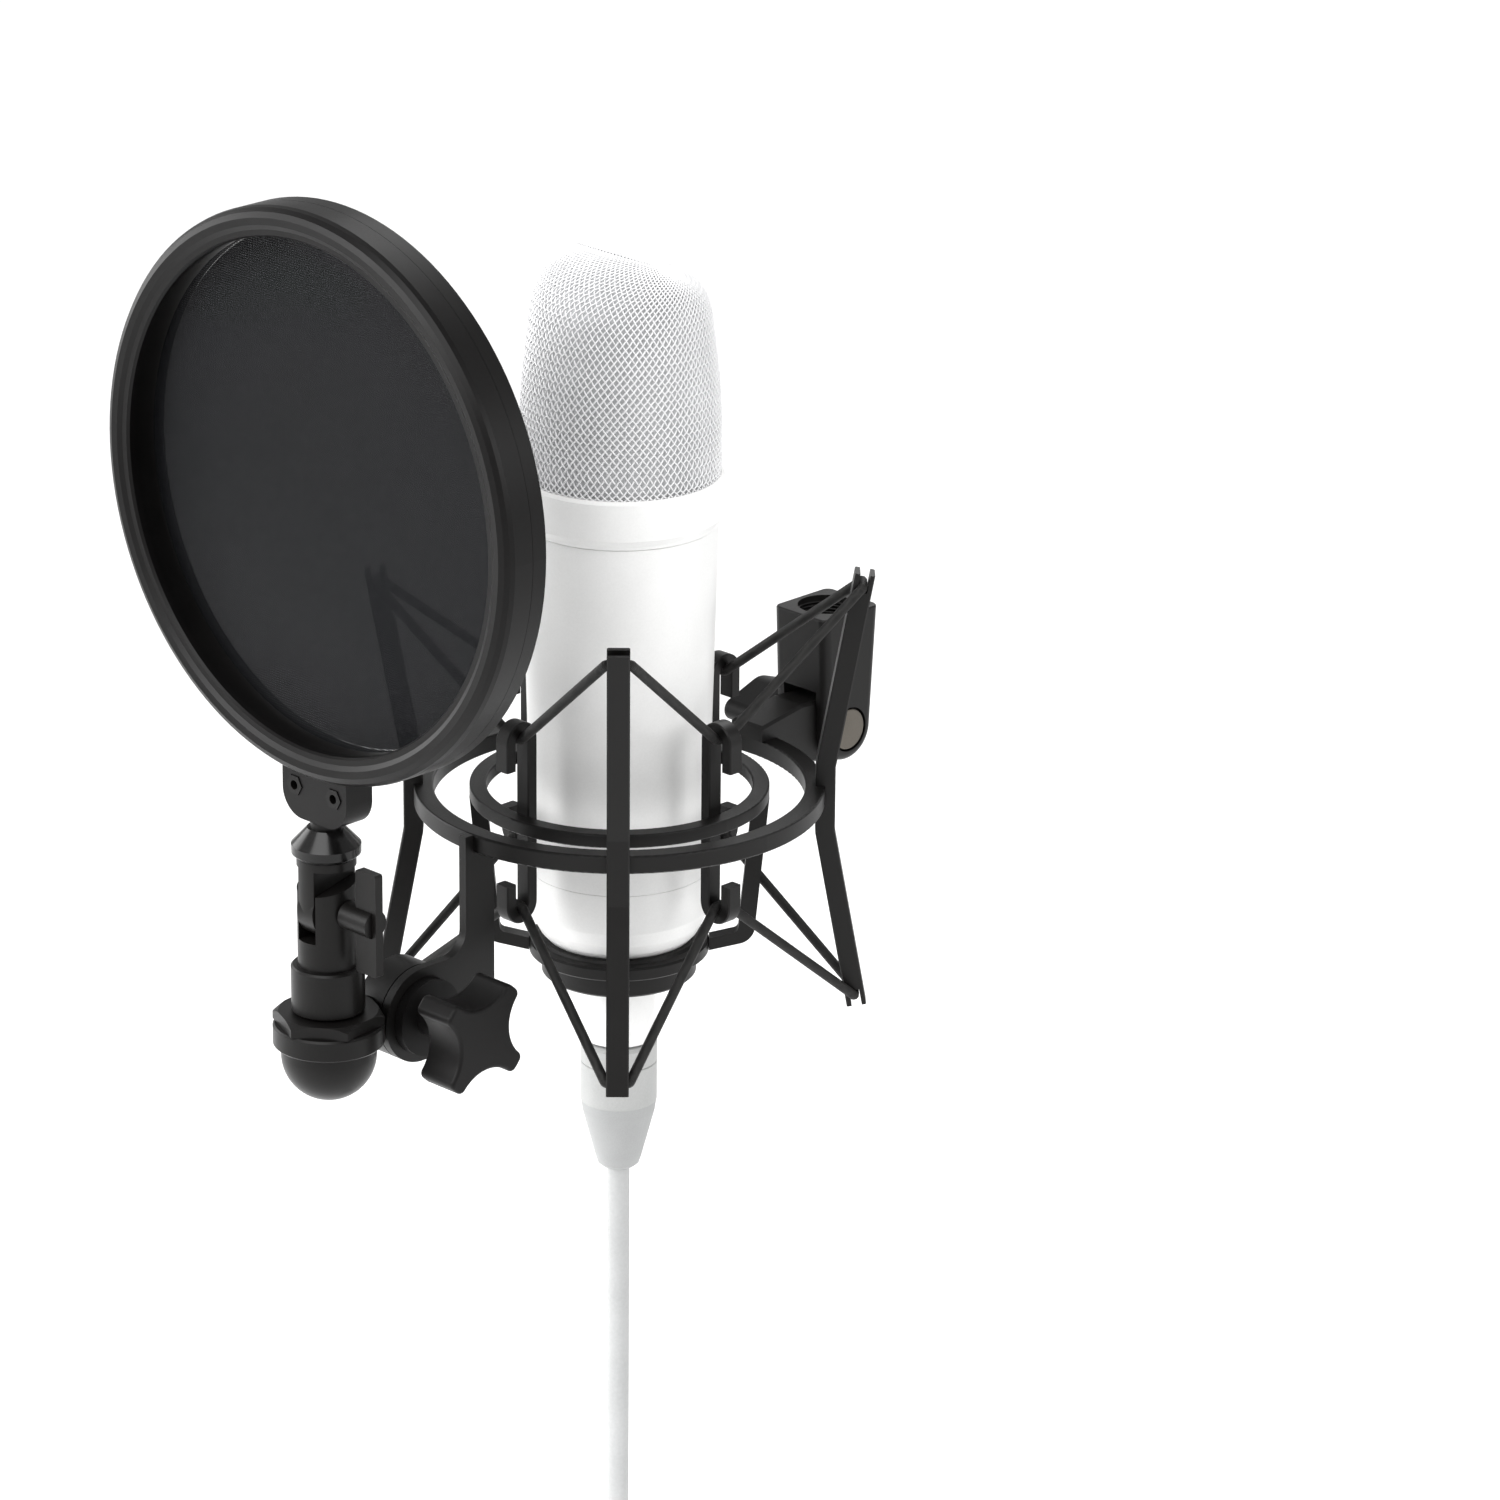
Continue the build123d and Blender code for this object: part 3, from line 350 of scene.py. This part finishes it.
def elastic_band(name, points):
    """A loop of cord: a curve with its corners rounded, made a mesh with its length along U."""
    curve = bpy.data.curves.new(name, "CURVE")
    curve.dimensions = "3D"
    loop = curve.splines.new("NURBS")
    rounded = []
    count = len(points)
    for i, place in enumerate(points):
        before, after = Vector(points[i - 1]), Vector(points[(i + 1) % count])
        here = Vector(place)
        rounded += [here.lerp(before, min(0.45, CORNER / (before - here).length)), here,
                    here.lerp(after, min(0.45, CORNER / (after - here).length))]
    loop.points.add(len(rounded) - 1)
    for point, place in zip(loop.points, rounded):
        point.co = (*at(*place), 1)
    loop.order_u = 3
    loop.use_cyclic_u = True
    loop.resolution_u = 8
    curve.bevel_depth = BAND_R / 1000
    curve.bevel_resolution = 3
    shape = bpy.data.objects.new(name, curve)
    bpy.context.scene.collection.objects.link(shape)
    bpy.ops.object.select_all(action="DESELECT")
    shape.select_set(True)
    bpy.context.view_layer.objects.active = shape
    bpy.ops.object.convert(target="MESH")
    band = bpy.context.object
    length = sum((Vector(points[i]) - Vector(points[i - 1])).length for i in range(count))
    for corner in band.data.uv_layers[0].uv:
        u, v = corner.vector
        corner.vector = (u * length / BRAID_PITCH * 2, v)
    bpy.ops.object.shade_smooth()
    return band


sleeve = braided_cord()
for name, node, tip_r, tip_z, hook_z in (
        ("elastic_loop_upper", "elastic_band_top", 60.9, 53.4, 21.1),
        ("elastic_loop_lower", "elastic_band_bottom", 60.4, -57.3, -23.4)):
    band = elastic_band(name, band_points(tip_r, tip_z, hook_z))
    band.data.materials.append(sleeve)
    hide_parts(node)
    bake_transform(band)

# ---- Microphone housing ------------------------------------------------------------------------
# Spun brass tube, collar and end cap, with the connector's shell below them.
# White satin enamel gives one long soft highlight down the tube.
white_enamel = grained("white_satin_enamel", "#e7e7e6", "#efefee", (0.38, 0.48), 0.6, 0.4,
                       Specular_IOR_Level=0.4)
dress(white_enamel, "mic_body_tube", "mic_base_cap", "mic_collar", "xlr_shell")

# ---- Head grille ---------------------------------------------------------------------------------
# Woven steel wire, pressed over a form and enamelled white: round at the collar, pinched to a
# rounded ridge on top. The wires cross in diamonds about 1.9 mm wide.
WIRES = 84
ROWS = 60
WIRE_R = 0.22
WIRE_LIFT = 0.2
SECTIONS = [
    (83.0, 25.0, 25.0), (92.0, 25.05, 24.9), (100.0, 25.0, 24.7), (108.0, 24.8, 23.9), (115.0, 24.5, 22.7),
    (122.0, 24.1, 21.4), (127.0, 23.8, 20.2), (131.0, 23.2, 17.6), (134.0, 22.2, 14.0), (136.5, 20.4, 8.8),
    (138.0, 18.0, 4.0), (138.5, 16.0, 0.3),
]
SPANS = [(Vector(a) - Vector(b)).length for a, b in zip(SECTIONS, SECTIONS[1:])]


def head_place(angle, run):
    """A place on the head, at an angle round it and a share from 0 to 1 of the way up its front."""
    left, i = run * sum(SPANS), 0
    while left > SPANS[i] and i < len(SPANS) - 1:
        left, i = left - SPANS[i], i + 1
    t = left / SPANS[i]
    picks = [SECTIONS[max(0, min(len(SECTIONS) - 1, i + k))] for k in (-1, 0, 1, 2)]
    z, a, b = [0.5 * (2 * p1 + (p2 - p0) * t + (2 * p0 - 5 * p1 + 4 * p2 - p3) * t * t
                      + (3 * p1 - p0 - 3 * p2 + p3) * t ** 3) for p0, p1, p2, p3 in zip(*picks)]
    return Vector((a * cos(angle), b * sin(angle), z))


def head_normal(angle, run):
    """The outward direction at that place."""
    along = head_place(angle + 0.02, run) - head_place(angle - 0.02, run)
    up = head_place(angle, min(1, run + 0.01)) - head_place(angle, max(0, run - 0.01))
    normal = along.cross(up)
    return normal.normalized() if normal.length > 1e-6 else Vector((0, 0, 1))


def woven_head():
    """Both sets of wires, each going over and under the other at every crossing."""
    curve = bpy.data.curves.new("woven_wire_head", "CURVE")
    curve.dimensions = "3D"
    for sign in (1, -1):
        for k in range(WIRES):
            wire = curve.splines.new("POLY")
            wire.points.add(2 * ROWS)
            for j in range(2 * ROWS + 1):
                step = j / 2
                angle = 2 * pi * k / WIRES + sign * step * pi / WIRES
                run = step / ROWS
                lift = WIRE_LIFT * sign * cos(pi * step) * min(1.0, (1 - run) * 6)
                wire.points[j].co = (*at(*(head_place(angle, run) + lift * head_normal(angle, run))), 1)
    curve.bevel_depth = WIRE_R / 1000
    curve.bevel_resolution = 0
    shape = bpy.data.objects.new("woven_wire_head", curve)
    bpy.context.scene.collection.objects.link(shape)
    bpy.ops.object.select_all(action="DESELECT")
    shape.select_set(True)
    bpy.context.view_layer.objects.active = shape
    bpy.ops.object.convert(target="MESH")
    bpy.ops.object.shade_smooth()
    return bpy.context.object


head = woven_head()
# The wire is enamelled after weaving, so it is white and half glossy, a little brighter than its liner.
wire_enamel = grained("enamelled_wire", "#e4e4e5", "#f1f1f2", (0.35, 0.48), 0.5, 0.5)
head.data.materials.append(wire_enamel)
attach(head, "cradle")
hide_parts("head_grille")
# The fine mesh behind it is drawn as a closed skin with a deep grain, which looks matt and pale grey.
liner_mesh = grained("fine_liner_mesh", "#bcbdbf", "#cccdce", (0.7, 0.85), 0.35, 6.0)
dress(liner_mesh, "grille_liner")

# ---- Capsule and electronics ------------------------------------------------------------------
# A brass capsule with two gold films, in a moulded saddle on the deck. Below it, an aluminium
# chassis carries the circuit board inside the tube.
# Turned brass: warm, with the tool's fine rings softened to a satin.
brass = grained("turned_brass", "#a58450", "#bd9a62", (0.25, 0.4), 0.3, 0.6, Metallic=1.0)
dress(brass, "capsule_body")
# Sputtered film: bright gold and almost a mirror.
gold_film = grained("gold_sputtered_film", "#d8b56a", "#e6c67e", (0.12, 0.2), 3.0, 0.2, Metallic=1.0)
dress(gold_film, "diaphragms")
# Moulded plastic: pale grey and half matt.
saddle_plastic = grained("moulded_saddle", "#b9babd", "#c6c7c9", (0.5, 0.6), 0.4, 1.0)
dress(saddle_plastic, "capsule_saddle")
# Milled aluminium: pale metal with a satin from the cutter.
aluminium = grained("milled_aluminium", "#a9aaac", "#bdbec0", (0.3, 0.42), 0.4, 0.8, Metallic=1.0)
dress(aluminium, "chassis_frame")
# Solder mask: glossy dark green lacquer.
solder_mask = grained("green_solder_mask", "#16492a", "#1d5a34", (0.3, 0.4), 0.8, 0.6)
dress(solder_mask, "circuit_board")
# Wrapped and moulded components: near black, half glossy.
component_skin = grained("component_bodies", "#1c1c20", "#2b2b30", (0.3, 0.45), 0.6, 0.6)
dress(component_skin, "board_parts")

# ---- Filter arm ----------------------------------------------------------------------------------
# Moulded cup and sleeve, with a post, nut, wing screw and stem in the same black, a darker and
# glossier ferrule under the filter, and a zinc-plated bolt through the cup's knuckle.
# A polished mould gives the black parts a satin skin with narrow highlights.
satin_moulding = grained("satin_black_moulding", "#090808", "#100f0e", (0.32, 0.42), 0.5, 0.8,
                         Specular_IOR_Level=0.2)
dress(satin_moulding, "filter_cup", "post_sleeve", "cup_nut", "clevis_post", "wing_screw", "filter_stem")
dress(satin_moulding, "lug_nuts")
# Black nickel plate: nearly black, with small sharp lights.
black_nickel = grained("black_nickel", "#070707", "#0d0c0c", (0.16, 0.24), 0.6, 0.3, Specular_IOR_Level=0.35)
dress(black_nickel, "ferrule")
# Zinc plate: grey metal with a satin.
zinc_plate = grained("zinc_plated_screw", "#7a7873", "#918f89", (0.28, 0.4), 0.25, 0.8, Metallic=1.0)
dress(zinc_plate, "clamp_bolt")

# ---- Filter hoops -------------------------------------------------------------------------------
# Two moulded hoops that snap together over the fabric, with a lug below that is held by two screws.
# Satin black plastic: soft lights follow the rounded flange.
hoop_moulding = grained("satin_hoop_moulding", "#080707", "#0f0e0e", (0.34, 0.44), 0.6, 0.9,
                        Specular_IOR_Level=0.17)
dress(hoop_moulding, "rim_front", "rim_rear", "filter_lug")

# ---- Filter fabric -------------------------------------------------------------------------------
# Two layers of sheer black nylon, stretched drum tight in the hoops. The yarns are about 0.3 mm
# apart on the real one and are drawn 0.6 mm apart, so that the weave still shows.
YARN = 0.6
EDGE_GAP = 0.4
CLOTH_RINGS = 6
RING_WIDTH = 9.0


def sheer_nylon(name):
    """Open plain weave: the gaps between the yarns let half-seen shapes through, and the yarns are
    almost black and matt."""
    material = bpy.data.materials.new(name)
    material.use_nodes = True
    tree = material.node_tree
    shader = tree.nodes["Principled BSDF"]
    place = add_node(tree, "ShaderNodeTexCoord", {})
    in_yarns = add_node(tree, "ShaderNodeMapping", {
        "Vector": place.outputs["Object"], "Scale": (1000 / YARN,) * 3})
    axes = add_node(tree, "ShaderNodeSeparateXYZ", {"Vector": in_yarns.outputs[0]})
    waves = []
    for axis in ("X", "Z"):
        wave = add_node(tree, "ShaderNodeMath", {0: axes.outputs[axis], 1: 0.5}, operation="PINGPONG")
        waves.append(wave.outputs[0])
    yarns = add_node(tree, "ShaderNodeMath", {0: waves[0], 1: waves[1]}, operation="MAXIMUM")
    cover = add_node(tree, "ShaderNodeMapRange", {
        "Value": yarns.outputs[0], "From Min": 0.12, "From Max": 0.3, "To Min": 0.62, "To Max": 0.95})
    cloud = add_node(tree, "ShaderNodeTexNoise", {
        "Vector": place.outputs["Object"], "Scale": 30.0, "Detail": 2.0})
    tone = add_node(tree, "ShaderNodeMixRGB", {
        "Fac": cloud.outputs["Fac"], "Color1": linear("#07080a"), "Color2": linear("#0b0c0f")})
    relief = add_node(tree, "ShaderNodeBump", {
        "Height": yarns.outputs[0], "Strength": 0.5, "Distance": 0.0001})
    tree.links.new(tone.outputs[0], shader.inputs["Base Color"])
    tree.links.new(cover.outputs[0], shader.inputs["Alpha"])
    tree.links.new(relief.outputs[0], shader.inputs["Normal"])
    shader.inputs["Roughness"].default_value = 0.75
    shader.inputs["Specular IOR Level"].default_value = 0.12
    return material


nylon = sheer_nylon("sheer_black_nylon")
for name, node in (("filter_cloth_front", "fabric_front"), ("filter_cloth_back", "fabric_rear")):
    low, high = (Vector(corner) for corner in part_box(node))
    centre = (low + high) / 2
    bpy.ops.object.select_all(action="DESELECT")
    bpy.ops.mesh.primitive_circle_add(vertices=96, radius=(high.x - low.x) / 2 - EDGE_GAP / 1000,
                                      fill_type="NGON", rotation=(pi / 2, 0, 0), location=centre)
    bpy.ops.object.transform_apply(location=True, rotation=True, scale=True)
    cloth = bpy.context.object
    cloth.name = name
    cloth.data.name = name
    bpy.ops.object.mode_set(mode="EDIT")
    bpy.ops.mesh.select_all(action="SELECT")
    for _ in range(CLOTH_RINGS):
        bpy.ops.mesh.inset(thickness=RING_WIDTH / 1000)
    bpy.ops.object.mode_set(mode="OBJECT")
    cloth.data.materials.append(nylon)
    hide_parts(node)
    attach(cloth, "filter_head")

# ---- Floor and studio light ----------------------------------------------------------------------
# A plain white floor well below the hanging plug, a bright white room, soft boxes all round and a
# wide overhead light.
FLOOR_DROP = 250.0
floor_level = cad_box[0][2] - FLOOR_DROP / 1000
bpy.ops.object.select_all(action="DESELECT")
bpy.ops.mesh.primitive_plane_add(size=40, location=(0, 0, floor_level))
floor = bpy.context.object
floor.name = "floor"
paper = bpy.data.materials.new("white_paper")
paper.use_nodes = True
paper.node_tree.nodes["Principled BSDF"].inputs["Base Color"].default_value = linear("#fdfdfd")
paper.node_tree.nodes["Principled BSDF"].inputs["Roughness"].default_value = 0.95
floor.data.materials.append(paper)

world = bpy.data.worlds.new("studio")
world.use_nodes = True
world.node_tree.nodes["Background"].inputs["Color"].default_value = (1, 1, 1, 1)
world.node_tree.nodes["Background"].inputs["Strength"].default_value = 0.5
bpy.context.scene.world = world

for name, place, size, power in (
        ("key", (-700, -1500, 700), 1.1, 24.0), ("left", (-1500, -500, 300), 1.2, 14.0),
        ("side", (1300, 500, 600), 0.8, 7.5), ("back", (-500, 1200, 900), 1.0, 8.0)):
    light_data = bpy.data.lights.new(name, "AREA")
    light_data.shape = "DISK"
    light_data.size = size
    light_data.energy = power
    light = bpy.data.objects.new(name, light_data)
    bpy.context.scene.collection.objects.link(light)
    light.location = at(*place)
    light.rotation_euler = (at(0, 0, 20) - light.location).to_track_quat("-Z", "Y").to_euler()

sky_data = bpy.data.lights.new("overhead", "SUN")
sky_data.energy = 2.3
sky_data.angle = radians(50)
sky = bpy.data.objects.new("overhead", sky_data)
bpy.context.scene.collection.objects.link(sky)
sky.rotation_euler = Vector((0.25, -0.75, 1.0)).to_track_quat("Z", "Y").to_euler()

bpy.context.scene.view_settings.view_transform = "Standard"
